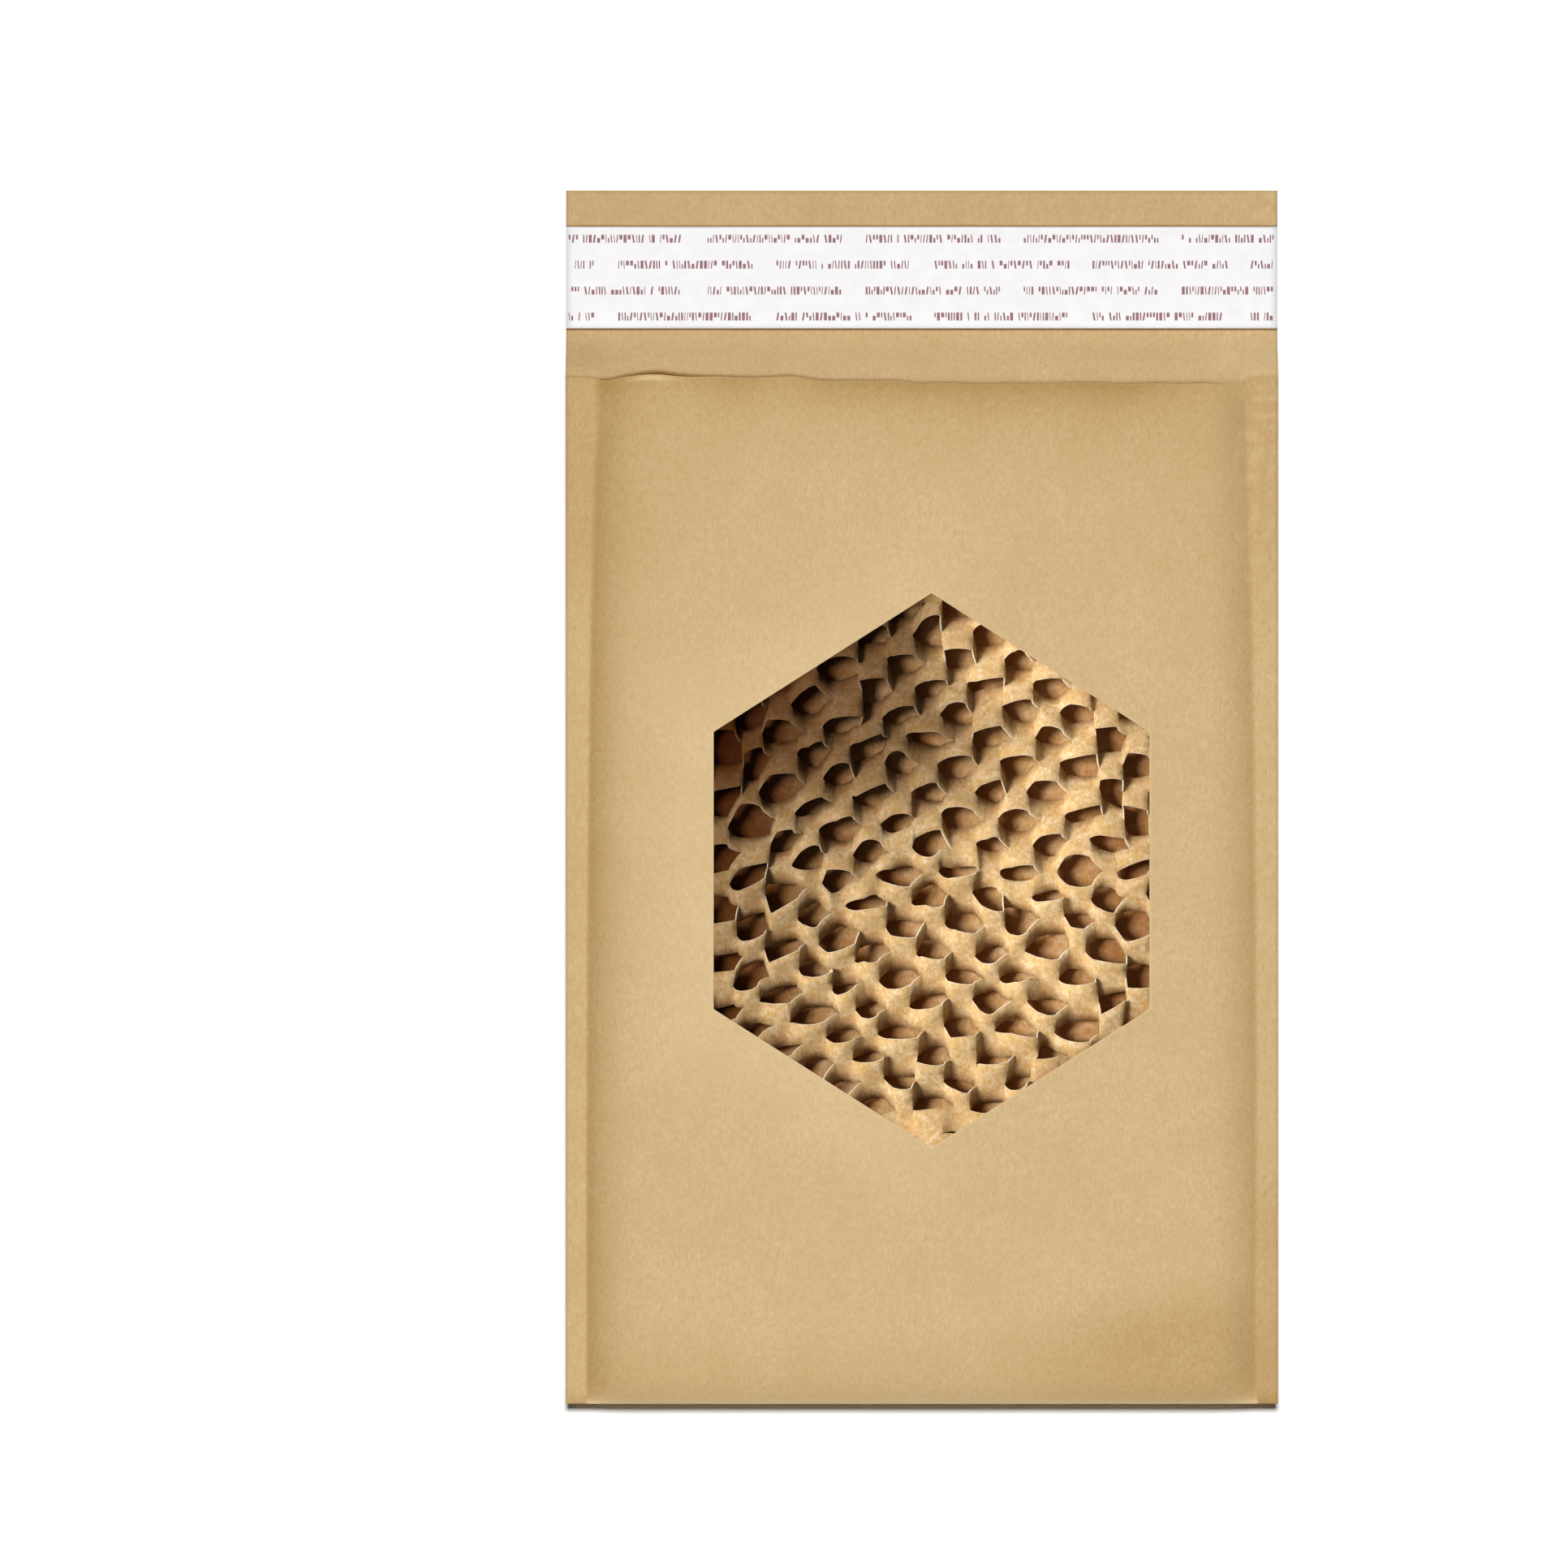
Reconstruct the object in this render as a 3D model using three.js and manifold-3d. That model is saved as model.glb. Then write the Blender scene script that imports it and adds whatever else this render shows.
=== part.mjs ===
// Padded paper mailer with a honeycomb lining, lying on its back with the flap open.
// X runs across the side seams, Y from the bottom fold to the flap, Z through the thickness.
// The origin is the middle of the footprint, on the surface the mailer lies on. Millimetres.
import * as THREE from "three";
import { mergeVertices } from "three/addons/utils/BufferGeometryUtils.js";
import Module from "manifold-3d";

const wasm = await Module();
wasm.setup();

// Outer sleeve: one kraft sheet, folded at the bottom and glued along both sides.
const WIDTH = 180; // across the seams
const POCKET_DEPTH = 259; // bottom fold to the lip of the front panel
const PAPER = 0.3; // outer sheet
const SEAM_WIDTH = 8; // flat glued margin on each side
const SEAM_RUN = 12; // from a seam to where the panels lie level
const GLUE_FILLET = 0.4; // glue in the corner where the panels part
const FOLD_RUN = 8; // depth of the rounded bottom fold
const MOUTH_RUN = 14; // from the lip to where the panels lie level
const MOUTH_GAP = 6.2; // clear height at the lip
const POCKET_GAP = 6; // clear height between the two sides of the lining

// Hexagonal window in the front panel, with two upright sides.
const WINDOW_WIDTH = 110;
const WINDOW_HEIGHT = 140; // point to point
const WINDOW_SIDE = 70; // length of an upright side
const WINDOW_OFFSET = 2.4; // to the right of the middle
const WINDOW_FROM_FOLD = 134.7; // window centre above the bottom fold

// Honeycomb lining: a slit sheet pulled open, folded with the sleeve.
const LINING_THICKNESS = 2.4;
const LINING_CLEARANCE = 0.3; // between the lining and the sleeve
const LINING_EDGE = 2; // lining stops this far short of a seam
const LINING_CUTOUT_MARGIN = 2; // open cells run on past the window's edge
const CELL_PAPER = 0.3; // slit sheet
const CELL_INSET = 0.05; // cells stay this far inside the lining's faces
const LAND_WIDTH = 5.2; // uncut land between two slits of a row
const LEG_RUN = 2.3; // sideways run of the paper between two lands
const STRIP_WIDTH = 4.5; // paper between two rows of slits
const CELL_OPENING = 4.6; // height of an open slit

// Closure on the flap: an adhesive strip under a peel-off release liner.
const LIP_TO_LINER = 12.8;
const LINER_WIDTH = 25.7;
const LINER_TO_FLAP_EDGE = 9.2;
const LINER_THICKNESS = 0.2;
const LINER_DRY_EDGE = 3.8; // liner past the adhesive, to lift it by
const ADHESIVE_THICKNESS = 0.2;
const FLAP_LEVEL_MARGIN = 1.5; // flap lies level this far before the liner

// Steps along a curved run, and room that a cutting solid has past the solid it cuts.
const RUN_STEPS = 7;
const CUT_ROOM = 5;
const FOLD_START = 0.05; // a hollow starts this far into its fold, where it has height

// Places that follow from the sizes.
const INSET_SLEEVE = PAPER;
const INSET_LINING = INSET_SLEEVE + LINING_CLEARANCE;
const INSET_POCKET = INSET_LINING + LINING_THICKNESS;
const MID_HEIGHT = INSET_POCKET + POCKET_GAP / 2; // height of the seams
const THICKNESS = 2 * MID_HEIGHT;
const FLAP_LENGTH = LIP_TO_LINER + LINER_WIDTH + LINER_TO_FLAP_EDGE;
const FLAP_Y = (POCKET_DEPTH + FLAP_LENGTH) / 2;
const FOLD_Y = -FLAP_Y;
const LIP_Y = FOLD_Y + POCKET_DEPTH;
const LEVEL_Y = LIP_Y - MOUTH_RUN;
const FLAP_SETTLE_RUN = LIP_TO_LINER - FLAP_LEVEL_MARGIN;
const SEAM_X = WIDTH / 2 - SEAM_WIDTH;
const LINER_Y = FLAP_Y - LINER_TO_FLAP_EDGE - LINER_WIDTH / 2;
const WINDOW_Y = FOLD_Y + WINDOW_FROM_FOLD;
const MOUTH_SHARE = MOUTH_GAP / (THICKNESS - 2 * PAPER);

// Cell lattice: lands lean out of the lining's plane, and rows are staggered by half a pitch.
const CELL_RISE = (LINING_THICKNESS - CELL_PAPER) / 2 - CELL_INSET;
const CELL_LEAN = Math.asin(CELL_RISE / STRIP_WIDTH);
const CELL_REACH = STRIP_WIDTH * Math.cos(CELL_LEAN);
const CELL_PITCH = 2 * (LAND_WIDTH + LEG_RUN);
const ROW_PITCH = CELL_REACH + CELL_OPENING / 2;
const CELL_Z = THICKNESS - INSET_LINING - LINING_THICKNESS / 2;

const kraft = new THREE.MeshStandardMaterial({ color: 0xd2b385, roughness: 0.85, metalness: 0 });
const honeycombKraft = new THREE.MeshStandardMaterial({ color: 0xc9a877, roughness: 0.9, metalness: 0 });
const adhesive = new THREE.MeshStandardMaterial({ color: 0xe6e0d2, roughness: 0.3, metalness: 0 });
const releasePaper = new THREE.MeshStandardMaterial({ color: 0xf7f5f3, roughness: 0.45, metalness: 0 });

// Share of the full opening at a distance in from a seam: a quarter sine wave.
function seamShare(x) {
  const run = Math.min(Math.max((SEAM_X - Math.abs(x)) / SEAM_RUN, 0), 1);
  return Math.sin((Math.PI / 2) * run);
}

// Share of the full opening above the bottom fold: a quarter ellipse that starts one inset in.
function foldShare(y, inset) {
  const run = Math.min(Math.max((y - FOLD_Y - inset) / (FOLD_RUN - inset), 0), 1);
  return Math.sqrt(1 - (1 - run) ** 2);
}

// Share of the full opening below the lip, which stands open by the mouth gap.
function mouthShare(y) {
  const run = Math.min(Math.max((LIP_Y - y) / MOUTH_RUN, 0), 1);
  return MOUTH_SHARE + (1 - MOUTH_SHARE) * Math.sin((Math.PI / 2) * run);
}

// Height of a layer above and below the seams' level, for a layer one inset inside the mailer.
function opening(x, y, inset) {
  return (MID_HEIGHT - inset) * seamShare(x) * foldShare(y, inset) * mouthShare(y);
}

// Underside of the flap: the back panel's end at the lip, sinking to the surface it lies on.
function flapHeight(x, y) {
  const run = Math.min((y - LIP_Y) / FLAP_SETTLE_RUN, 1);
  const atLip = MID_HEIGHT - PAPER - opening(x, LIP_Y, INSET_SLEEVE);
  return (atLip * (1 + Math.cos(Math.PI * run))) / 2;
}

// Evenly spaced places from a to b, both included.
function places(a, b, steps = RUN_STEPS) {
  return Array.from({ length: steps + 1 }, (_, i) => a + ((b - a) * i) / steps);
}

// Places across the mailer that start a distance in from each seam and follow the panels' slopes.
function acrossFrom(edge) {
  const slope = places(0, SEAM_RUN).filter((d) => d > edge);
  const left = [edge, ...slope].map((d) => d - SEAM_X);
  return [...left, ...left.map((x) => -x).reverse()];
}

// Places up the bottom fold, at equal angles round its quarter ellipse.
function upTheFold(inset, start) {
  const run = FOLD_RUN - inset;
  const turned = places(0, Math.PI / 2).slice(1);
  return [start, ...turned.map((angle) => run * (1 - Math.cos(angle)))].map((d) => FOLD_Y + inset + d);
}

// Closed solid between two height functions over a grid of places.
function layerSolid(xs, ys, top, bottom) {
  const [columns, rows] = [xs.length - 1, ys.length - 1];
  const geometry = new THREE.BoxGeometry(1, 1, 1, columns, rows, 1);
  const position = geometry.attributes.position;
  for (let i = 0; i < position.count; i++) {
    const x = xs[Math.round((position.getX(i) + 0.5) * columns)];
    const y = ys[Math.round((position.getY(i) + 0.5) * rows)];
    position.setXYZ(i, x, y, position.getZ(i) > 0 ? top(x, y) : bottom(x, y));
  }
  return solid(geometry);
}

// Closed solid of everything inside the mailer from one inset inwards.
function pocketSolid(xs, ys, inset) {
  return layerSolid(
    xs,
    ys,
    (x, y) => MID_HEIGHT + opening(x, y, inset),
    (x, y) => MID_HEIGHT - opening(x, y, inset),
  );
}

// A closed three.js geometry as a solid that can be joined and cut.
function solid(geometry) {
  geometry.deleteAttribute("normal");
  geometry.deleteAttribute("uv");
  const merged = mergeVertices(geometry);
  return new wasm.Manifold(
    new wasm.Mesh({
      numProp: 3,
      vertProperties: new Float32Array(merged.attributes.position.array),
      triVerts: new Uint32Array(merged.index.array),
    }),
  );
}

// A named mesh from a solid.
function meshOf(name, made, material) {
  const { vertProperties, triVerts } = made.getMesh();
  const geometry = new THREE.BufferGeometry();
  geometry.setAttribute("position", new THREE.BufferAttribute(vertProperties, 3));
  geometry.setIndex(new THREE.BufferAttribute(triVerts, 1));
  geometry.computeVertexNormals();
  return named(name, new THREE.Mesh(geometry, material));
}

function named(name, mesh) {
  mesh.name = name;
  return mesh;
}

// Corners of the window's outline, moved out square to its sides by a margin.
function windowCorners(margin) {
  const half = WINDOW_WIDTH / 2 + margin;
  const slant = (WINDOW_HEIGHT - WINDOW_SIDE) / WINDOW_WIDTH;
  const point = WINDOW_HEIGHT / 2 + margin * Math.hypot(1, slant);
  const shoulder = point - slant * half;
  return [
    new THREE.Vector2(0, point),
    new THREE.Vector2(-half, shoulder),
    new THREE.Vector2(-half, -shoulder),
    new THREE.Vector2(0, -point),
    new THREE.Vector2(half, -shoulder),
    new THREE.Vector2(half, shoulder),
  ];
}

// Upright prism of the window's outline, through the front half of the mailer only.
function windowPrism(margin) {
  const depth = MID_HEIGHT + CUT_ROOM;
  const geometry = new THREE.ExtrudeGeometry(new THREE.Shape(windowCorners(margin)), {
    depth,
    bevelEnabled: false,
  });
  return solid(geometry.translate(WINDOW_OFFSET, WINDOW_Y, MID_HEIGHT));
}

// Whether a place, measured from the window's centre, lies in its outline moved out by a margin.
function inWindow(x, y, margin) {
  const [top, side] = windowCorners(margin);
  const slant = (top.y - side.y) / -side.x;
  return Math.abs(x) < -side.x && Math.abs(y) + slant * Math.abs(x) < top.y;
}

// The folded sleeve: both panels with the window cut in the front one, and the flap.
function outerSleeve() {
  const across = [-WIDTH / 2, ...acrossFrom(0), WIDTH / 2];
  const upToLip = [...upTheFold(0, 0), ...places(LEVEL_Y, LIP_Y)];
  const pillow = layerSolid(
    across,
    upToLip,
    (x, y) => MID_HEIGHT + PAPER + openingOutside(x, y),
    (x, y) => MID_HEIGHT - PAPER - openingOutside(x, y),
  );
  const hollow = pocketSolid(
    acrossFrom(GLUE_FILLET),
    [...upTheFold(INSET_SLEEVE, FOLD_START), ...places(LEVEL_Y, LIP_Y), LIP_Y + CUT_ROOM],
    INSET_SLEEVE,
  );
  const flap = layerSolid(
    across,
    [...places(LIP_Y, LIP_Y + FLAP_SETTLE_RUN), FLAP_Y],
    (x, y) => flapHeight(x, y) + PAPER,
    flapHeight,
  );
  return pillow.subtract(hollow).subtract(windowPrism(0)).add(flap);
}

// Height of the sleeve's outside over the flat of its seams.
function openingOutside(x, y) {
  return (MID_HEIGHT - PAPER) * seamShare(x) * foldShare(y, 0) * mouthShare(y);
}

// Lands of the honeycomb in the lining's cut-out, and one row of neighbours round it.
function honeycombLands() {
  const lands = new Map();
  const margin = LINING_CUTOUT_MARGIN + CELL_PITCH / 2;
  const rows = Math.ceil(WINDOW_HEIGHT / ROW_PITCH);
  const columns = Math.ceil(WINDOW_WIDTH / CELL_PITCH);
  for (let row = -rows; row <= rows; row++) {
    for (let column = -2 * columns; column <= 2 * columns; column++) {
      const staggered = Math.abs(row + column) % 2 === 0;
      const x = (column * CELL_PITCH) / 2;
      const y = row * ROW_PITCH;
      if (staggered && inWindow(x, y, margin)) {
        lands.set(`${row},${column}`, { row, column, x, y });
      }
    }
  }
  return lands;
}

// The slit sheet, pulled open. Each land leans, with its upper edge towards the window, and paper
// legs run from its upper half to the two lands above. What lies between is an open cell if its
// middle is in the window, and is left uncut beyond.
function honeycombCells() {
  const lands = honeycombLands();
  const points = [];
  const normals = [];
  const triangles = [];
  const quad = (a, b, c, d) => triangles.push([a, b, c], [a, c, d]);
  const addPoint = (x, y, z, normal) => {
    normals.push(normal);
    return points.push(new THREE.Vector3(x, y, z)) - 1;
  };
  const lean = new THREE.Vector3(0, -Math.sin(CELL_LEAN), Math.cos(CELL_LEAN));
  const leg = new THREE.Vector3(ROW_PITCH * lean.y, LEG_RUN * lean.y, LEG_RUN * lean.z).normalize();
  const bend = (side) => lean.clone().add(leg.clone().multiply(new THREE.Vector3(side, 1, 1))).normalize();

  for (const land of lands.values()) {
    const corner = (side, level) => {
      const normal = level === 0 ? lean : bend(-side * level);
      const x = land.x + (side * LAND_WIDTH) / 2;
      return addPoint(x, land.y + level * CELL_REACH, level * CELL_RISE, normal);
    };
    [land.lowLeft, land.lowRight] = [corner(-1, -1), corner(1, -1)];
    [land.left, land.right] = [corner(-1, 0), corner(1, 0)];
    [land.highLeft, land.highRight] = [corner(-1, 1), corner(1, 1)];
    quad(land.left, land.right, land.highRight, land.highLeft);
    quad(land.lowLeft, land.lowRight, land.right, land.left);
  }
  for (const land of lands.values()) {
    const upper = (rows, columns) => lands.get(`${land.row + rows},${land.column + columns}`);
    const [left, right, above] = [upper(1, -1), upper(1, 1), upper(2, 0)];
    if (right) quad(land.right, right.lowLeft, right.left, land.highRight);
    if (left) quad(left.lowRight, land.left, land.highLeft, left.right);
    const uncut = !inWindow(land.x, land.y + ROW_PITCH, 0);
    if (left && right && above && uncut) {
      quad(land.highLeft, land.highRight, above.lowRight, above.lowLeft);
      triangles.push([left.right, land.highLeft, above.lowLeft]);
      triangles.push([land.highRight, right.left, above.lowRight]);
    }
  }
  return thickened(points, normals, triangles, CELL_PAPER);
}

// Closed solid of a sheet: its faces moved half a thickness each way, joined round every edge.
function thickened(points, normals, triangles, thickness) {
  const moved = (share) => points.map((p, i) => p.clone().addScaledVector(normals[i], share * thickness));
  const under = (i) => i + points.length;
  const edges = new Set(triangles.flatMap(([a, b, c]) => [`${a},${b}`, `${b},${c}`, `${c},${a}`]));
  const rims = [...edges]
    .map((edge) => edge.split(",").map(Number))
    .filter(([a, b]) => !edges.has(`${b},${a}`))
    .flatMap(([a, b]) => [
      [b, a, under(a)],
      [b, under(a), under(b)],
    ]);
  const backs = triangles.map(([a, b, c]) => [under(a), under(c), under(b)]);
  const geometry = new THREE.BufferGeometry();
  geometry.setFromPoints([...moved(0.5), ...moved(-0.5)]);
  geometry.setIndex([...triangles, ...backs, ...rims].flat());
  return solid(geometry.translate(WINDOW_OFFSET, WINDOW_Y, CELL_Z));
}

// The folded lining: a plain layer of the honeycomb's thickness, with its cells in the window.
function honeycombLining() {
  const upTo = (inset, start, end) => [...upTheFold(inset, start), end];
  const layer = pocketSolid(acrossFrom(LINING_EDGE), upTo(INSET_LINING, FOLD_START, LEVEL_Y), INSET_LINING);
  const pocket = pocketSolid(
    acrossFrom(LINING_EDGE / 2),
    upTo(INSET_POCKET, FOLD_START, LEVEL_Y + CUT_ROOM),
    INSET_POCKET,
  );
  const cells = honeycombCells().intersect(layer);
  return layer.subtract(pocket).subtract(windowPrism(LINING_CUTOUT_MARGIN)).add(cells);
}

// A flat strip across the flap, over the release liner's place.
function flapStrip(name, length, thickness, z, material) {
  const strip = named(name, new THREE.Mesh(new THREE.BoxGeometry(WIDTH, length, thickness), material));
  strip.position.set(0, LINER_Y, z + thickness / 2);
  return strip;
}

const mailer = new THREE.Group();
mailer.add(
  meshOf("outer_sleeve", outerSleeve(), kraft),
  meshOf("honeycomb_lining", honeycombLining(), honeycombKraft),
  flapStrip("adhesive_strip", LINER_WIDTH - 2 * LINER_DRY_EDGE, ADHESIVE_THICKNESS, PAPER, adhesive),
  flapStrip("release_liner", LINER_WIDTH, LINER_THICKNESS, PAPER + ADHESIVE_THICKNESS, releasePaper),
);

export default mailer;
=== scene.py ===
"""Padded kraft envelope with a honeycomb lining, lying on its back with the flap open.

The frame is the CAD part's: X across the side seams, Y from the bottom fold to the flap,
Z up out of the front panel. Sizes below are in millimetres, and meshes are made in metres.
"""

import bmesh
import bpy
import numpy as np
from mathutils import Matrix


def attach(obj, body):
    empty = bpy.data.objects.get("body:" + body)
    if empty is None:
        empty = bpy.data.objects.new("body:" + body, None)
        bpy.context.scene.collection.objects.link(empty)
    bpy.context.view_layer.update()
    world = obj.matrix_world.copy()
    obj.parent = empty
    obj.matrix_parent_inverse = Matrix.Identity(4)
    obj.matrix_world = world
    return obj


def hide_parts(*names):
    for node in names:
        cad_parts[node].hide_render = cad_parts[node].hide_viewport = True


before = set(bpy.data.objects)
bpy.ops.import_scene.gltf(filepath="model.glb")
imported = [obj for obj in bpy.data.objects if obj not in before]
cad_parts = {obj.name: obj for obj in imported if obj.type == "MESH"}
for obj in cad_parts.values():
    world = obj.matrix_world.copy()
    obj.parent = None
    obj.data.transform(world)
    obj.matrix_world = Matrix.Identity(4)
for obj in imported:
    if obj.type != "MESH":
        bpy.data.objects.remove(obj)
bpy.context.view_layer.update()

METRES = 0.001  # in a millimetre

# Sizes of the envelope, the same as in the CAD part
WIDTH = 180.0
POCKET_DEPTH = 259.0
PAPER = 0.3
SEAM_WIDTH = 8.0
SEAM_RUN = 12.0  # from a glued margin to where the panel lies level
FOLD_RUN = 8.0  # from the bottom fold to where the panel lies level
MOUTH_RUN = 14.0  # from the lip to where the panel lies level
MOUTH_GAP = 6.2  # clear height at the lip
MID_HEIGHT = 6.0  # of the seams
WINDOW_WIDTH = 110.0
WINDOW_HEIGHT = 140.0
WINDOW_SIDE = 70.0  # length of an upright side
WINDOW_X = 2.4
WINDOW_FROM_FOLD = 134.7  # the window's middle above the bottom fold
LIP_TO_LINER = 12.8
LINER_WIDTH = 25.7
LINER_TO_FLAP_EDGE = 9.2
LINER_DRY_EDGE = 3.8  # liner without adhesive under it, along each long edge
FLAP_LEVEL_MARGIN = 1.5  # the flap lies level this far before the liner
ADHESIVE_THICKNESS = 0.2
LAND_WIDTH = 5.2  # uncut land between two slits of a row
LEG_RUN = 2.3  # sideways run of the paper between two lands
ROW_PITCH = 6.687

# Sizes that differ from the CAD part's, or that only this script has
STRIP_WIDTH = 5.1  # paper between two rows of slits
CELL_RISE = 2.5  # lean of the strips that show; the CAD part's are flatter
LINING_INSET = 3.4  # middle of the honeycomb below the sleeve's face, deeper than in the CAD part
LINING_LEAST = 0.12  # the honeycomb by the seams is pressed to this share of its height
SEAM_AT_FOLD = 5.6  # the glued margins are a little wider at the mouth than at the bottom
SEAM_AT_LIP = 8.3
LINER_THICKNESS = 0.16
SHEET = 0.28  # outer kraft as drawn
CELL_SHEET = 0.34  # slit kraft as drawn, thick enough for its cut edges to show

# What follows from the sizes
MOUTH_SHARE = MOUTH_GAP / (2 * MID_HEIGHT - 2 * PAPER)
FLAP_SETTLE_RUN = LIP_TO_LINER - FLAP_LEVEL_MARGIN
CELL_PITCH = 2 * (LAND_WIDTH + LEG_RUN)
EDGE_X = WIDTH / 2
FLAP_Y = (POCKET_DEPTH + LIP_TO_LINER + LINER_WIDTH + LINER_TO_FLAP_EDGE) / 2
FOLD_Y = -FLAP_Y
LIP_Y = FOLD_Y + POCKET_DEPTH
LEVEL_Y = LIP_Y - MOUTH_RUN
LINER_Y = FLAP_Y - LINER_TO_FLAP_EDGE - LINER_WIDTH / 2
WINDOW_Y = FOLD_Y + WINDOW_FROM_FOLD
WINDOW_LEFT = WINDOW_X - WINDOW_WIDTH / 2
WINDOW_RIGHT = WINDOW_X + WINDOW_WIDTH / 2
WINDOW_SLANT = (WINDOW_HEIGHT - WINDOW_SIDE) / WINDOW_WIDTH  # fall of a slanted side over its run
ADHESIVE_TOP = PAPER + ADHESIVE_THICKNESS
LINER_TOP = ADHESIVE_TOP + LINER_THICKNESS

# The lip of the front panel is lifted at the left, and the painted shadow about it lies a little to the
# right
LIFT_X = -68.0
LIFT_SHADOW_X = -66.0
LIFT_HEIGHT = 1.1

# Rows of the sleeve's grid are close together in narrow bands beside edges, folds and shadow lines
CUT_BAND = 0.5
LINE_BAND = 1.5
BEND_BAND = 2.0
LIP_BAND = 3.0
WINDOW_ROWS = 4  # the run of rows that passes the window
FOLD_ROWS = 7  # the run that goes down to the bottom fold, with the next one going up from it
WINDOW_COLUMNS = (3, 5)  # knots of the columns at the window's sides
TOUCH = 0.001  # places nearer than this are the same place

# Along the honeycomb sheet, places count from its fold: up the front half, and below 0 on the back
LINING_BEND = 7.8  # length of the sheet round a quarter of its fold
MIDDLE_ROW = WINDOW_FROM_FOLD - FOLD_RUN + LINING_BEND  # at the window's middle
LINING_END = LEVEL_Y - FOLD_Y - FOLD_RUN + LINING_BEND
LANDS_ASIDE = 10  # lands to each side of the window's middle
SHUT_BELOW = 70.0  # this far below the window's middle the slits stay shut
SHUT_RUN = 8.0  # over which they open
SHUT_LIFT = 1.5  # the shut sheet lies up against the panel
PRESSED_RISE = 2.3  # most that an edge stands up under the panel
CORNER_REACH = 26.0  # how far the sheet sinks away round the window's upper left corner
CORNER_SINK = 1.6
CELL_LENGTH = 9.0  # mean length of an open cell
WAVER_WITHIN = 68.0  # beyond this, from the middle, the sheet's ends stay in place

# Print on the release liner
PRINT_ROWS = 4
PRINT_ROW = 6.56  # spacing of the printed rows
PRINT_HEIGHT = 2.0
PRINT_GROUPS = 7  # groups of shapes in a row
PRINT_GROUP = 40.0  # spacing of the groups
PRINT_LENGTH = 34.6  # length of a group
PRINT_SHAPES = 54  # drawn for a group, which keeps those that fit
PRINT_START = -134.2  # where the first group starts; shapes past the liner's ends are left out
PRINT_STAGGER = 17.4  # every second row starts this much further on
PRINT_CLEAR = 0.5  # from the liner's ends
PRINT_LIFT = 0.02  # above the liner, so that the ink shows

# The picture, in its own points
PICTURE_SIDE = 1932
ENVELOPE_IN_PICTURE = 878.0  # the envelope's width
PICTURE_MIDDLE = (-170.0, 15.5)  # counted from the envelope's middle

# The camera and the table, in millimetres again
CAMERA_DISTANCE = 5000.0
CAMERA_SENSOR = 36.0
SCALE_HEIGHT = 9.0  # above the table, where the picture's scale holds
TABLE_REACH = 3000.0


def linear(text):
    """Scene-linear RGBA of an sRGB hex colour."""
    value = np.array([int(text[i : i + 2], 16) for i in (1, 3, 5)]) / 255
    low = value / 12.92
    high = ((value + 0.055) / 1.055) ** 2.4
    return (*np.where(value <= 0.04045, low, high).tolist(), 1.0)


def smooth(t):
    """Smooth step from 0 to 1 as t goes from 0 to 1."""
    t = np.clip(t, 0, 1)
    return t * t * (3 - 2 * t)


def ramp(distance, run):
    """Smooth step from 0 to 1 as a distance goes from 0 to the end of a run."""
    return smooth(distance / run)


def bell(distance, reach):
    """Bell curve: e to the minus square of distance over reach."""
    return np.exp(-((distance / reach) ** 2))


def fade(distance, reach):
    """Exponential fade: e to the minus distance over reach."""
    return np.exp(-distance / reach)


def waves(x, y, length, seed, count=14):
    """Random smooth field of about unit height: a sum of plane sine waves of nearly one length."""
    rng = np.random.default_rng(seed)
    turn = rng.uniform(0, 2 * np.pi, count)
    phase = rng.uniform(0, 2 * np.pi, count)
    rate = 2 * np.pi / (length * rng.uniform(0.7, 1.5, count))
    total = np.zeros(np.broadcast(x, y).shape)
    for a, p, r in zip(turn, phase, rate):
        total = total + np.sin(r * (np.cos(a) * x + np.sin(a) * y) + p)
    return total * np.sqrt(2 / count)


def steps(start, *runs):
    """Rising places from a start: each run is (where it ends, how many even steps it takes)."""
    parts = [np.array([start])]
    for end, count in runs:
        parts.append(np.linspace(start, end, count + 1)[1:])
        start = end
    return np.concatenate(parts)


def along_knots(knots, place):
    """Straight runs between knots: place 2.5, for one, lies halfway from knot 2 to knot 3."""
    *values, place = np.broadcast_arrays(*knots, place)
    part = np.minimum(place.astype(int), len(knots) - 2)
    low = np.choose(part, values[:-1])
    high = np.choose(part, values[1:])
    return low + (high - low) * (place - part)


def grid_faces(rows, columns):
    """Quads of a grid of vertices that is stored row by row."""
    first = np.arange((rows - 1) * columns).reshape(rows - 1, columns)[:, :-1]
    return np.stack([first, first + 1, first + columns + 1, first + columns], -1)


def make_piece(name, points, faces, material, flat=False):
    """Object from points in millimetres and a list of quads, riding on the part's one body."""
    mesh = bpy.data.meshes.new(name)
    vertices = np.reshape(points, (-1, 3)) * METRES
    mesh.from_pydata(vertices.tolist(), [], faces.reshape(-1, 4).tolist())
    mesh.materials.append(material)
    if flat:
        mesh.shade_flat()
    else:
        mesh.shade_smooth()
    piece = bpy.data.objects.new(name, mesh)
    bpy.context.scene.collection.objects.link(piece)
    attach(piece, "root")
    return piece


def weld(piece, distance):
    """Joins vertices of a piece that lie within some metres of each other, and drops the loose ones."""
    work = bmesh.new()
    work.from_mesh(piece.data)
    bmesh.ops.delete(work, geom=[v for v in work.verts if not v.link_faces], context="VERTS")
    bmesh.ops.remove_doubles(work, verts=work.verts, dist=distance)
    work.to_mesh(piece.data)
    work.free()


def point_value(piece, name, values):
    """Stores one number for each vertex under a name that materials can read."""
    attribute = piece.data.attributes.new(name, "FLOAT", "POINT")
    attribute.data.foreach_set("value", np.ascontiguousarray(values, dtype=np.float32).ravel())


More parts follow.
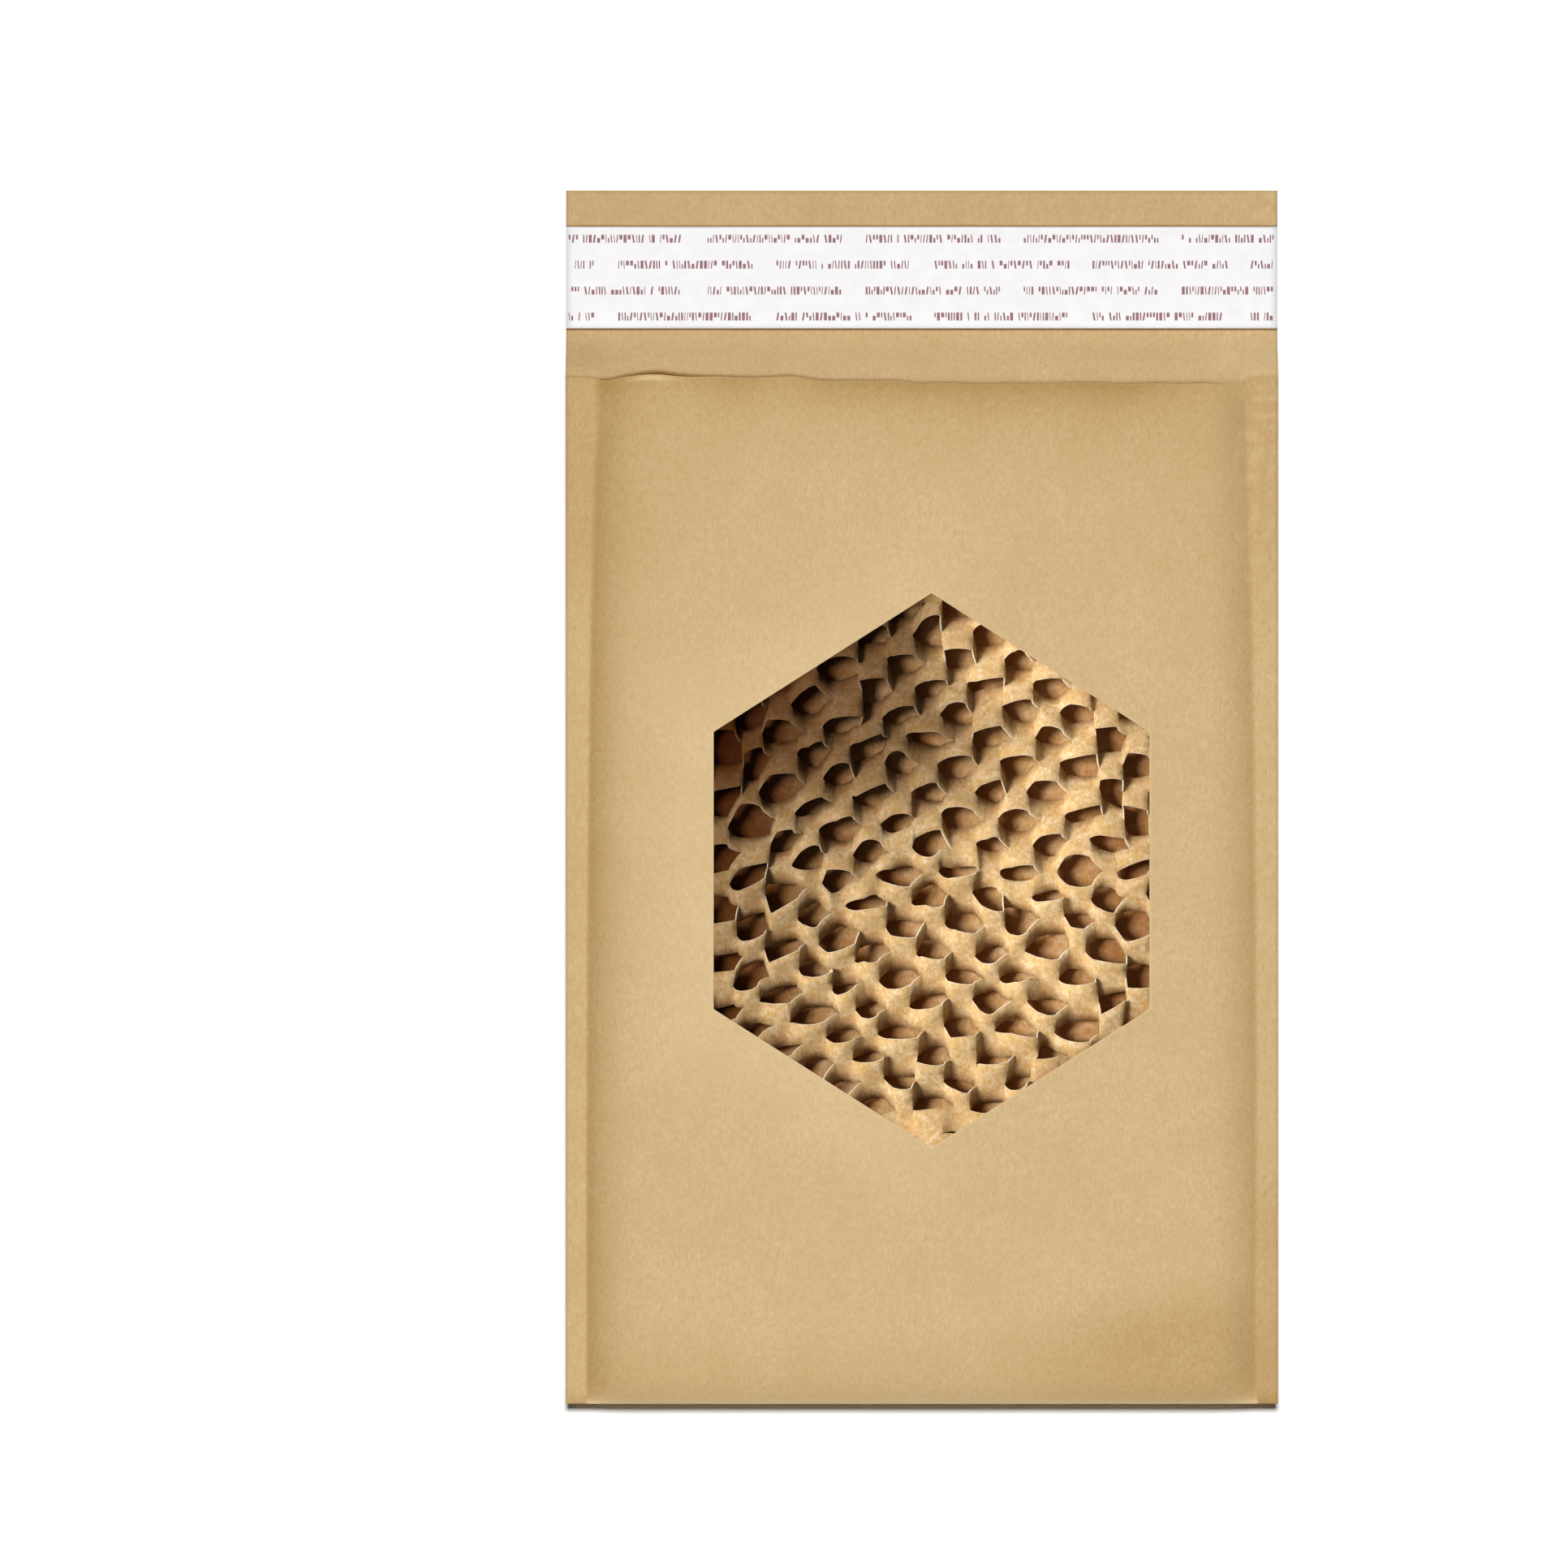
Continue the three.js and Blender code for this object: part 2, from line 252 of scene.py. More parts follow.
def thicken(piece, thickness):
    """Gives a sheet its paper's thickness, half on each side."""
    solidify = piece.modifiers.new("thickness", "SOLIDIFY")
    solidify.thickness = thickness * METRES
    solidify.offset = 0.0
    solidify.use_even_offset = False
    return solidify


# Shape of the envelope


def seam_inset(y):
    """Width of the glued margin at a height up the envelope: it widens towards the lip, as a cube."""
    up = np.clip((y - FOLD_Y) / POCKET_DEPTH, 0, 1)
    return SEAM_AT_FOLD + (SEAM_AT_LIP - SEAM_AT_FOLD) * up**3


def from_margin(x, y):
    """How far in from the glued margin's inner edge a place lies: below 0 on the margin."""
    return EDGE_X - seam_inset(y) - np.abs(x)


def seam_share(x, y):
    """How far the panels are open: a quarter sine wave that starts at the margin's inner edge."""
    return np.sin(np.pi / 2 * np.clip(from_margin(x, y) / SEAM_RUN, 0, 1))


def mouth_share(y):
    """How far the panels are open below the lip, which itself stands open by the mouth's gap: the
    rest of the way is a quarter sine wave."""
    run = np.clip((LIP_Y - y) / MOUTH_RUN, 0, 1)
    return MOUTH_SHARE + (1 - MOUTH_SHARE) * np.sin(np.pi / 2 * run)


def window_edge(x):
    """Half the window's height at a place across it: it falls evenly from the window's points."""
    across = np.clip(np.abs(x - WINDOW_X), 0, WINDOW_WIDTH / 2)
    return WINDOW_HEIGHT / 2 - WINDOW_SLANT * across


def off_window(x, up):
    """How far outside the window a place lies, with its height counted from the window's middle: the
    greater of how far it lies aside and how far above or below."""
    return np.maximum(np.abs(x - WINDOW_X) - WINDOW_WIDTH / 2, np.abs(up) - window_edge(x))


def upper_part(y):
    """The envelope's upper part: 0 up to the window's upper corners, and 1 well above its top point."""
    return ramp(y - 20, 60)


def lip_line(x):
    """How far the cut edge of the front panel strays from straight: it falls in two steps to the right,
    with a low hump at the left and a dip beside each margin."""
    fall = -0.9 * ramp(x + 34, 10) - 0.75 * ramp(x + 8, 8)
    left = 0.65 * bell(x - LIFT_X, 6.5) - 0.7 * bell(x + 80, 3)
    right = 1.5 * ramp(x - 76, 9) - 0.3 * bell(x - 76, 3)
    return 0.3 + fall + left + right + 0.08 * waves(x, 0 * x, 16.0, 11)


def column_knots(margin):
    """Places across the sleeve of its outer edges, margins, level parts, window sides and window points,
    from left to right, for a width of the glued margin."""
    inner = EDGE_X - margin
    level = inner - SEAM_RUN
    return [-EDGE_X, -inner, -level, WINDOW_LEFT, WINDOW_X, WINDOW_RIGHT, level, inner, EDGE_X]


def sleeve_grid():
    """Places on the outer kraft sheet. Columns follow the margins and the window's upright sides, and
    rows its slanted ones. Rows run from the front lip down the front panel, round the bottom fold and
    up the back panel to the flap's edge. Both count knots: u across, v along."""
    left_half = [(1, 7), (2, 18), (2.97, 10), (3, 1), (4, 30)]
    right_half = [(5, 30), (5.04, 1), (6, 8), (7, 18), (8, 7)]
    u = steps(0, *left_half, *right_half)[None, :]
    x_plain = along_knots(column_knots(SEAM_WIDTH), u)
    edge = window_edge(x_plain)
    lip = LIP_Y + lip_line(x_plain)
    # Where each run of rows ends, and how many rows it has
    runs = [
        (lip, 0),
        (lip - LIP_BAND, 10),
        (LEVEL_Y, 14),
        (WINDOW_Y + edge + CUT_BAND, 33),
        (WINDOW_Y + edge, 1),
        (WINDOW_Y - edge, 36),
        (WINDOW_Y - edge - CUT_BAND, 1),
        (FOLD_Y + FOLD_RUN, 33),
        (FOLD_Y, 12),
        (FOLD_Y + FOLD_RUN, 12),
        (LEVEL_Y, 44),
        (lip - BEND_BAND, 10),
        (lip + BEND_BAND, 12),
        (LIP_Y + FLAP_SETTLE_RUN, 14),
        (LINER_Y - LINER_WIDTH / 2, 6),
        (LINER_Y + LINER_WIDTH / 2, 8),
        (LINER_Y + LINER_WIDTH / 2 + LINE_BAND, 6),
        (FLAP_Y - LINE_BAND, 8),
        (FLAP_Y, 6),
    ]
    v = steps(0, *[(i, runs[i][1]) for i in range(1, len(runs))])[:, None]
    y = along_knots([place for place, count in runs], v)
    # Round the fold the rows are spaced by angle, and the panels open as a quarter ellipse
    part = v.astype(int)
    share = v - part
    folded = (part == FOLD_ROWS) | (part == FOLD_ROWS + 1)
    angle = np.pi / 2 * np.where(part == FOLD_ROWS, 1 - share, share)
    y = np.where(folded, FOLD_Y + FOLD_RUN * (1 - np.cos(angle)), y)
    fold_share = np.where(folded, np.sin(angle), 1.0)
    x = along_knots(column_knots(seam_inset(y)), u)
    return u, v, x, y, lip, fold_share


def sleeve_height(x, y, fold_share, front):
    """Height of the outer kraft sheet: the panels stand apart by the shares that the seams, fold and
    mouth leave open, and the flap sinks as half a cosine wave to the surface that it lies on. Added to
    that are soft dents in the panels, creases by the margins and the lip's lifted place."""
    side = np.where(front, 1.0, -1.0)
    open_share = seam_share(x, y) * fold_share * mouth_share(y)
    z = MID_HEIGHT + side * (PAPER / 2 + (MID_HEIGHT - PAPER) * open_share)
    past_lip = np.clip((y - LIP_Y) / FLAP_SETTLE_RUN, 0, 1)
    sinking = PAPER / 2 + (z - PAPER / 2) * (1 + np.cos(np.pi * past_lip)) / 2
    z = np.where(front, z, sinking)

    dents = 0.22 * np.clip(1 + waves(x, y, 34.0, 3), 0, None) / 2
    z = z - dents * side * open_share * np.where(front, 1.0, 0.35)
    inside = np.clip(from_margin(x, y), 0, None)
    by_seam = bell(inside - 6, 5) * ramp(inside, 6)
    creases = 0.16 * by_seam * waves(0.25 * x, y, 17.0, 5)
    z = z + np.where(y < LIP_Y, creases * side * fold_share, 0)
    lift = LIFT_HEIGHT * bell(x - LIFT_X, 11) * ramp(y - LIP_Y + 9, 9)
    return z + np.where(front, lift, 0)


# Tones of the paper are sums of terms. A term is an amount times fades, bell curves and ramps, whose
# numbers are distances in millimetres.


def painted_shade_tone(x, y, lip, front):
    """How far the sleeve's outer face is darkened by painted shade: beside the margins, above the fold,
    on the margins themselves and below the lip."""
    inside = np.clip(from_margin(x, y), 0, None)
    on_margin = from_margin(x, y) < -TOUCH
    upper = upper_part(y)
    up_fold = y - FOLD_Y
    to_lip = LIP_Y - y

    # Beside the margins: a narrow line, strongest at the lower left, and a broad one higher up
    narrow = np.where(x < 0, 0.82 - 0.5 * upper, 0.5 - 0.5 * upper) * fade(inside, 6.5)
    broad = 0.4 * fade(inside, 25) * upper
    lip_corner = 0.65 * ramp(26 - to_lip, 20) * fade(inside, 4) * (x < 0)
    beside = (narrow + broad) * (1 - lip_corner)
    # Above the fold: more, and higher up, to the right
    to_right = ramp(x - 10, 50)
    off_seam = 1 - 0.9 * fade(inside, 5)
    above_fold = (0.24 + 0.3 * to_right) * off_seam * ramp(24 + 12 * to_right - up_fold, 20)
    # On the margins: more at both ends, and at the lower right
    margin = 0.2 + 0.1 * upper + 0.2 * ramp(65 - to_lip, 35) + 0.4 * ramp(4 - up_fold, 4)
    margin = margin + (x > 0) * (0.28 * ramp(72 - up_fold, 30) + 0.12 * ramp(30 - up_fold, 15))
    # Below the lip: less at its lifted place, beside that and at the right
    below_lip = fade(np.clip(lip - y, 0, None), 9) * ~on_margin * front
    below_lip = below_lip * (1 - 0.6 * bell(x - LIFT_SHADOW_X, 14)) * (1 - 0.35 * bell(x + 35, 11))
    below_lip = below_lip * (1 - 0.8 * ramp(x - 48, 30))

    tone = np.where(on_margin, margin, beside + above_fold) + below_lip
    return np.clip(np.where(y < lip, tone, 0), 0, 1.1)


def highlight_and_pale_tone(x, y, lip, front):
    """How far the sleeve is lightened: painted highlights on the lip's lifted place, along the window's
    cut edge and on the fold, and paler patches in crinkles at its right edge, to the left of the window
    and above the right end of the lip."""
    on_margin = from_margin(x, y) < -TOUCH
    outside = off_window(x, y - WINDOW_Y)
    # Painted highlights: on the lip's lifted place, along the window's cut edge and on the fold
    lifted = 0.6 * bell(x - LIFT_X, 5) * bell(lip - y - 0.9, 0.6) * front
    cut = 0.8 * smooth(1 - outside / 0.45) * front
    fold_highlight = 0.9 * fade(y - FOLD_Y, 0.9) * ~on_margin
    # Paler patches: in crinkles at the right edge, to the left of the window, above the lip's right end
    crinkled = 0.2 * ramp(x - 77, 8) * upper_part(y) * smooth(waves(x, y, 4.5, 51) - 0.3)
    by_window = 0.22 * smooth(1 - outside / 30) * ramp(WINDOW_X + 24 - x, 50) * front
    by_lip = 0.22 * ramp(x - 70, 8) * bell(y - LIP_Y - 5.5, 3.5)
    return np.maximum.reduce([lifted, cut, fold_highlight, crinkled, by_window, by_lip])


def pocket_shadow_tone(x, y, lip):
    """How far the sleeve's inner face is darkened by painted shadow: down in the pocket, in thin lines
    along the lip, the liner and the flap's cut edge, and a little over the flap above the liner; and how
    far the flap's left end is a little darker."""
    inside = from_margin(x, y)
    by_seam = np.where(x < 0, 1.0, ramp(inside, 11))
    on_margin = np.where(x < 0, 0.6, 0.4)
    gape = 1.2 + 0.6 * bell(x - LIFT_SHADOW_X, 9)
    in_pocket = smooth((lip + gape - y) / 1.6) * np.where(inside > TOUCH, by_seam, on_margin)
    in_pocket = in_pocket * (1 - 0.2 * ramp(x + 60, 80))
    off_liner = np.abs(y - LINER_Y) - LINER_WIDTH / 2
    by_liner = smooth(1 - off_liner / 0.8) * np.where(y < LINER_Y, 1.0, 0.7)
    by_edge = 0.06 * (y > LINER_Y) + 0.18 * smooth(1 - (FLAP_Y - y) / 1.2)
    left_end = 0.06 * ramp(-78 - x, 6) + 0.03 * ramp(-20 - x, 50)
    return np.maximum.reduce([in_pocket, by_liner, by_edge, left_end])


def sleeve():
    """The outer kraft sheet: one folded grid with the quads inside the window left out."""
    u, v, x, y, lip, fold_share = sleeve_grid()
    front = v < FOLD_ROWS + 1
    z = sleeve_height(x, y, fold_share, front)
    middle_u = (u[:, :-1] + u[:, 1:]) / 2
    middle_v = (v[:-1] + v[1:]) / 2
    left_side, right_side = WINDOW_COLUMNS
    in_columns = (middle_u > left_side) & (middle_u < right_side)
    window = (middle_v.astype(int) == WINDOW_ROWS) & in_columns
    faces = grid_faces(*z.shape)[~window][:, ::-1]
    piece = make_piece("outer_kraft_sheet", np.stack([x, y, z], -1), faces, kraft_outside())
    piece.data.materials.append(kraft_inside())
    # Painted shade, painted highlights with a few paler patches, and painted shadow in the pocket
    point_value(piece, "painted_shade", painted_shade_tone(x, y, lip, front))
    point_value(piece, "highlight_and_pale", highlight_and_pale_tone(x, y, lip, front))
    point_value(piece, "pocket", pocket_shadow_tone(x, y, lip))
    weld(piece, 1e-7)
    thicken(piece, SHEET).material_offset = 1
    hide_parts("outer_sleeve")
    return piece


def slit_opening(along):
    """How far the slits are pulled open: shut on the back half and at the window's lowest point."""
    return ramp(along - MIDDLE_ROW + SHUT_BELOW, SHUT_RUN)


def lining_strips(row):
    """Values along each strip between two rows of slits. A strip runs across the envelope and swings
    between the land below it and the land above it, where it joins its neighbours. Where the slits are
    open each land has its own place, width, slope and height."""
    rng = np.random.default_rng(7)
    column = np.arange(-LANDS_ASIDE, LANDS_ASIDE + 1)
    lands = (len(row) + 1, len(column))
    land_row = MIDDLE_ROW + ROW_PITCH * np.arange(row[0], row[-1] + 2)[:, None]
    loose = slit_opening(land_row)
    land_x = WINDOW_X + CELL_PITCH / 2 * column + loose * rng.normal(0, 0.65, lands)
    land_width = LAND_WIDTH * (1 + loose * rng.uniform(-0.45, 0.4, lands))
    land_y = loose * rng.normal(0, 0.55, lands)
    land_turn = loose * land_width * rng.normal(0, 0.12, lands)
    land_z = loose * rng.uniform(-0.3, 0.3, lands)

    upper = (row[:, None] + column) % 2  # 1 where the strip meets the land above it
    met = np.arange(len(row))[:, None] + upper
    on_land = np.linspace(-0.5, 0.5, 5)
    on_leg = np.linspace(0, 1, 7)[1:-1]
    # A leg starts sharply, so that the cells are round at the left
    leaving = 0.6 * np.sqrt(1 - (1 - on_leg) ** 2) + 0.4 * smooth(on_leg)

    def of_land(values):
        """The value of the land that each strip meets in each column."""
        return np.take_along_axis(values, met, 0)

    def along_strip(middle, change, ease):
        """A value along each strip: it changes over each land, and is eased over the leg to the next."""
        land = middle[..., None] + change[..., None] * on_land
        leg = land[:, :-1, -1:] + (land[:, 1:, :1] - land[:, :-1, -1:]) * ease
        runs = np.concatenate([land[:, :-1], leg], -1).reshape(len(row), -1)
        return np.concatenate([runs, land[:, -1]], 1)[..., None]

    level = np.zeros(upper.shape)
    x = along_strip(of_land(land_x), of_land(land_width), on_leg)
    swing = along_strip(upper, level, leaving)
    dip = along_strip(upper, level, on_leg)
    shift = along_strip(of_land(land_y), of_land(land_turn), smooth(on_leg))
    lift = along_strip(of_land(land_z), level, smooth(on_leg))
    # How far each strip arches: a parabola over each land, and little over the legs
    land_arch = 1 - 2.8 * on_land**2
    land_and_leg = np.append(land_arch, np.full(len(on_leg), 0.3))
    arch = np.append(np.tile(land_and_leg, len(column) - 1), land_arch)[:, None]
    return x, swing, dip, shift, lift, arch


def lining_shade(from_left, up, on_front):
    """Painted shade in the window's upper left: on the cells' edges it ends near the middle of the
    window's height and at its top point, and on the half behind it spreads round the corner. Places count
    from that corner. Under the slanted edge it is deepest, and the window's right side has a little."""
    slant = np.arctan(WINDOW_SLANT)
    from_slant = np.clip(from_left * np.sin(slant) - up * np.cos(slant), 0, None)
    under_edge = fade(from_slant, 8) * (1 - ramp(from_left - 48, 14))
    near_left = np.clip(0.23 - 0.27 * fade(from_left, 24), 0, None)
    near_left = near_left + (0.28 + 0.22 * np.clip(from_left / 48, 0, 1)) * ramp(-4 - up, 28)
    near_left = near_left + 0.3 * ramp(-26 - up, 50)
    lit_front = near_left + (1 - near_left) * ramp(from_left - 44, 46 - 20 * ramp(up - 2, 16))
    lit_front = lit_front * (1 - 0.5 * under_edge) * (1 - 0.14 * ramp(-60 - up, 25))
    lit_behind = np.clip(np.hypot(0.67 * from_left, 0.95 * up) / 55, 0, 1) ** 0.725
    lit_behind = lit_behind * (1 - 0.45 * fade(from_left, 25)) ** 3.2 * (1 - 0.78 * under_edge)
    return 1 - np.where(on_front, lit_front, lit_behind) * (1 - 0.2 * ramp(from_left - 92, 12))


def lining():
    """The honeycomb: a slit sheet pulled open. A strip keeps its width, so the further it swings the
    more its lands lean out of the sheet's plane: what it covers of the plane is the root of its width
    squared less its lean squared. The sheet is folded in the middle and lines both panels."""
    first_row = int(-(LINING_END + MIDDLE_ROW) / ROW_PITCH)
    row = np.arange(first_row, int((LINING_END - MIDDLE_ROW) / ROW_PITCH))
    x, swing, dip, shift, lift, arch = lining_strips(row)
    across = np.linspace(0, 1, 3)
    strip = row[:, None, None]
    base = MIDDLE_ROW + ROW_PITCH * strip
    on_front = base > 0

    # The lands lean one way in the window's upper half and the other in its lower, most in their
    # middles, so that the cells' edges arch. By the window's sides the cells lie flatter and more open,
    # in its upper left corner too, and lower down they are closer.
    from_left = np.clip(x - WINDOW_LEFT, 0, None)
    beside = ramp(np.abs(x - WINDOW_X) - 26, 24)
    lower = ramp(MIDDLE_ROW - 8 - base, 50)
    corner = bell(from_left, CORNER_REACH) * bell(base - MIDDLE_ROW - WINDOW_SIDE / 2, CORNER_REACH)
    open_row = slit_opening(base)
    lean = CELL_RISE * (0.8 + 0.35 * arch) * (1 - 0.4 * beside) * (1 + 0.1 * lower) * open_row
    width = STRIP_WIDTH + 0.7 * lower - 0.9 * beside - 1.0 * corner + 0.4 * waves(x, base, 22.0, 21)
    run = np.sqrt((ROW_PITCH + (width - ROW_PITCH) * open_row) ** 2 - lean**2)
    below_middle = MIDDLE_ROW - base + 9 * waves(x, base, 40.0, 22)
    rise = lean * np.tanh(below_middle / 5)
    flat = base + across * run + swing * (ROW_PITCH - run) + shift
    relief = rise * (across - dip) + lift
    # Under the panel the high edges are pressed down
    covered = ramp(off_window(x, flat - MIDDLE_ROW) + 4, 3)
    relief = relief - covered * np.clip(relief - PRESSED_RISE, 0, None)
    relief = relief + SHUT_LIFT * (1 - slit_opening(flat)) * on_front

    # The pulled sheet isn't even: it wavers, and in the left part of the window its rows climb to the
    # right
    from_fold = np.abs(flat)
    off_fold = ramp(from_fold, 30)
    by_window = np.exp(-(((from_fold - MIDDLE_ROW) / 80) ** 4)) * off_fold
    left_part = np.logaddexp(0, (WINDOW_X - 14 - x) / 8) * 8
    along = np.sign(flat) * (from_fold - 0.25 * left_part * by_window)
    along = along + 0.4 * off_fold * waves(x, flat, 21.0, 23)
    x_out = x + 0.4 * waves(x, from_fold, 19.0, 24) * (np.abs(x) < WAVER_WITHIN)

    # Warm painted shade down in the cells, on the strips' low edges and on the half behind them: deep at
    # the left end of each cell, which the light doesn't reach, and thin at its right end
    row_behind = np.round((from_fold - MIDDLE_ROW) / ROW_PITCH)
    cell_row = np.where(on_front, np.where(rise > 0, strip, strip + 1), row_behind)
    turns = ((x - WINDOW_X) / (CELL_PITCH / 2) + cell_row + 1) / 2
    along_cell = (turns - np.round(turns)) * CELL_PITCH / CELL_LENGTH + 0.5
    cell_shade = 0.98 - 0.15 * ramp(from_left - 60, 45) - 0.1 * lower - 0.53 * smooth(along_cell) * (1 - beside)
    cell_shade = cell_shade * np.where(on_front, 0.7 * smooth(-relief / CELL_RISE), 1.0)

    # Place on the fold or on a panel, and the layer's height there
    up_corner = np.abs(along) - MIDDLE_ROW - WINDOW_SIDE / 2
    sunk = CORNER_SINK * bell(from_left, CORNER_REACH) * bell(up_corner, CORNER_REACH) * on_front
    turn = np.clip(np.abs(along) / LINING_BEND, 0, 1) * np.pi / 2
    y = FOLD_Y + LINING_INSET + (FOLD_RUN - LINING_INSET) * (1 - np.cos(turn))
    y = y + np.clip(np.abs(along) - LINING_BEND, 0, None) - relief * np.cos(turn)
    open_share = np.clip(seam_share(x_out, y), LINING_LEAST, 1)
    height = (MID_HEIGHT - LINING_INSET + relief - sunk) * np.sin(turn)
    z = MID_HEIGHT + np.sign(along) * height * open_share

    points = np.stack(np.broadcast_arrays(x_out, y, z), -1)
    strips, samples, cross = points.shape[:3]
    first = np.arange(strips) * samples * cross
    faces = grid_faces(samples, cross) + first[:, None, None, None]
    piece = make_piece("honeycomb_sheet", points, faces[..., ::-1], honeycomb_material())
    piece.data.materials.append(cut_edge_highlight_material())
    # Painted shade in the window's upper left and down in the cells
    point_value(piece, "shade", np.broadcast_to(lining_shade(from_left, up_corner, on_front), z.shape))
    point_value(piece, "cell_shade", np.broadcast_to(cell_shade, z.shape))
    weld(piece, 2e-6)
    thicken(piece, CELL_SHEET).material_offset_rim = 1
    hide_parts("honeycomb_lining")
    return piece


def liner_curl(x, s):
    """How far the release liner lifts off the flap: nothing in its middle, and as a square towards its
    long edges, unevenly along them."""
    return 0.35 * np.clip((np.abs(s) - 0.7) / 0.3, 0, 1) ** 2 * (1 + 0.35 * waves(x, 0 * x, 40.0, 31))


def flap_strip(name, width, low, high, curl, material):
    """A strip across the flap: a grid of 90 by 24 quads that follows its curl, with thickness."""
    x = np.linspace(-EDGE_X, EDGE_X, 91)[:, None]
    s = np.linspace(-1, 1, 25)[None, :]
    z = (low + high) / 2 + curl * liner_curl(x, s)
    points = np.stack(np.broadcast_arrays(x, LINER_Y + s * width / 2, z), -1)
    piece = make_piece(name, points, grid_faces(*z.shape)[..., ::-1], material)
    thicken(piece, high - low)
    return piece


def closure():
    """The adhesive strip on the flap and the release liner over it."""
    width = LINER_WIDTH - 2 * LINER_DRY_EDGE
    glue = flap_strip("adhesive_layer", width, PAPER, ADHESIVE_TOP, 0.0, adhesive_material())
    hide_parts("adhesive_strip")
    liner = flap_strip("release_paper", LINER_WIDTH, ADHESIVE_TOP, LINER_TOP, 1.0, release_material())
    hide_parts("release_liner")


def liner_print():
    """Print on the release liner: rows of small plain shapes in groups, staggered from row to row.
    A shape is a bar, a slanted bar either way, or a low or high block."""
    bar = np.array([[0, 0], [1, 0], [1, 1], [0, 1]])
    slant = np.array([[0, 0], [0.6, 0], [1, 1], [0.4, 1]])
    other_slant = slant[::-1] * [-1, 1] + [1, 0]
    low_block = bar * [1, 0.6]
    high_block = low_block + [0, 0.4]
    shapes = np.stack([bar, slant, other_slant, low_block, high_block])
    rng = np.random.default_rng(41)
    size = (PRINT_ROWS, PRINT_GROUPS, PRINT_SHAPES)
    wide = rng.choice([0.35, 0.5, 0.75], size)
    space = rng.choice([0.3, 1.3], size, p=[0.9, 0.1])
    shape = shapes[rng.integers(0, len(shapes), size)]

    row = np.arange(PRINT_ROWS)[:, None]
    first = PRINT_START + PRINT_GROUP * np.arange(PRINT_GROUPS) + PRINT_STAGGER * (row % 2)
    ends = np.cumsum(wide + space, -1)
    start = first[..., None] + ends - wide - space
    on_liner = (start > PRINT_CLEAR - EDGE_X) & (start + wide < EDGE_X - PRINT_CLEAR)
    kept = (ends < PRINT_LENGTH) & on_liner
    row_y = PRINT_ROW * ((PRINT_ROWS - 1) / 2 - row)
    x = (start[..., None] + wide[..., None] * shape[..., 0])[kept]
    y = (row_y[..., None, None] + PRINT_HEIGHT * (shape[..., 1] - 0.5))[kept]
    z = LINER_TOP + PRINT_LIFT + liner_curl(x, 2 * y / LINER_WIDTH)
    faces = np.arange(x.size).reshape(-1, 4)
    ink = make_piece("liner_print", np.stack([x, LINER_Y + y, z], -1), faces, ink_material(), flat=True)


# Materials


def add(tree, kind, settings=None, **links):
    """Adds a node: settings fill its properties or sockets, links join sockets to other outputs. A
    socket's number stands for its name where names repeat, with an underscore before it in a link."""
    node = tree.nodes.new(kind)
    for key, value in (settings or {}).items():
        if isinstance(key, int) or key in node.inputs:
            node.inputs[key].default_value = value
        else:
            setattr(node, key, value)
    for key, output in links.items():
        tree.links.new(node.inputs[int(key[1:]) if key[0] == "_" else key], output)
    return node


def new_material(name):
    """An empty material, its node tree and its Principled shader."""
    material = bpy.data.materials.new(name)
    material.use_nodes = True
    tree = material.node_tree
    tree.nodes.clear()
    shader = add(tree, "ShaderNodeBsdfPrincipled", {"Specular IOR Level": 0.1})
    add(tree, "ShaderNodeOutputMaterial", Surface=shader.outputs[0])
    return material, tree, shader


def noise_scale(size):
    """Scale of a noise texture whose clouds are about this many millimetres across."""
    return 1 / (size * METRES)


def paper_texture(tree, shader, light, dark, specks, clouds, blotch, tooth):
    """Colour and tooth of kraft: fibres, a share of specks 1.4 mm wide, and clouds of a given width.
    Real fibres are some 0.03 mm wide, too fine to show, so they are drawn 0.5 mm wide."""
    where = add(tree, "ShaderNodeTexCoord").outputs["Object"]
    stretched = add(tree, "ShaderNodeMapping", {"Scale": (1.0, 0.35, 1.0)}, Vector=where).outputs[0]
    settings = {"Scale": noise_scale(0.5), "Detail": 4.0, "Roughness": 0.65}
    fibre = add(tree, "ShaderNodeTexNoise", settings, Vector=stretched)
    settings = {"Scale": noise_scale(1.4), "Detail": 3.0, "Roughness": 0.6}
    grain = add(tree, "ShaderNodeTexNoise", settings, Vector=where)
    settings = {"Scale": noise_scale(clouds), "Detail": 4.0, "Roughness": 0.6}
    cloud = add(tree, "ShaderNodeTexNoise", settings, Vector=where)

    settings = {"operation": "MULTIPLY_ADD", 1: specks}
    fine = add(tree, "ShaderNodeMath", settings, _0=grain.outputs[0], _2=fibre.outputs[0])
    middle = (1 + specks) / 2  # mean of the two noises together
    settings = {"From Min": middle - 0.25, "From Max": middle + 0.25, "To Min": 0.0, "To Max": 1.0}
    spread = add(tree, "ShaderNodeMapRange", settings, Value=fine.outputs[0])
    settings = {"data_type": "RGBA", 6: linear(dark), 7: linear(light)}
    paper = add(tree, "ShaderNodeMix", settings, Factor=spread.outputs[0])
    settings = {"From Min": 0.35, "From Max": 0.65, "To Min": 0.0, "To Max": blotch}
    cloudy = add(tree, "ShaderNodeMapRange", settings, Value=cloud.outputs[0])
    settings = {"data_type": "RGBA", 7: linear(dark)}
    clouded = add(tree, "ShaderNodeMix", settings, Factor=cloudy.outputs[0], _6=paper.outputs[2])

    settings = {"Strength": tooth, "Distance": 0.2 * METRES}
    bump = add(tree, "ShaderNodeBump", settings, Height=fine.outputs[0])
    tree.links.new(shader.inputs["Normal"], bump.outputs[0])
    shader.inputs["Roughness"].default_value = 0.85
    return clouded.outputs[2]


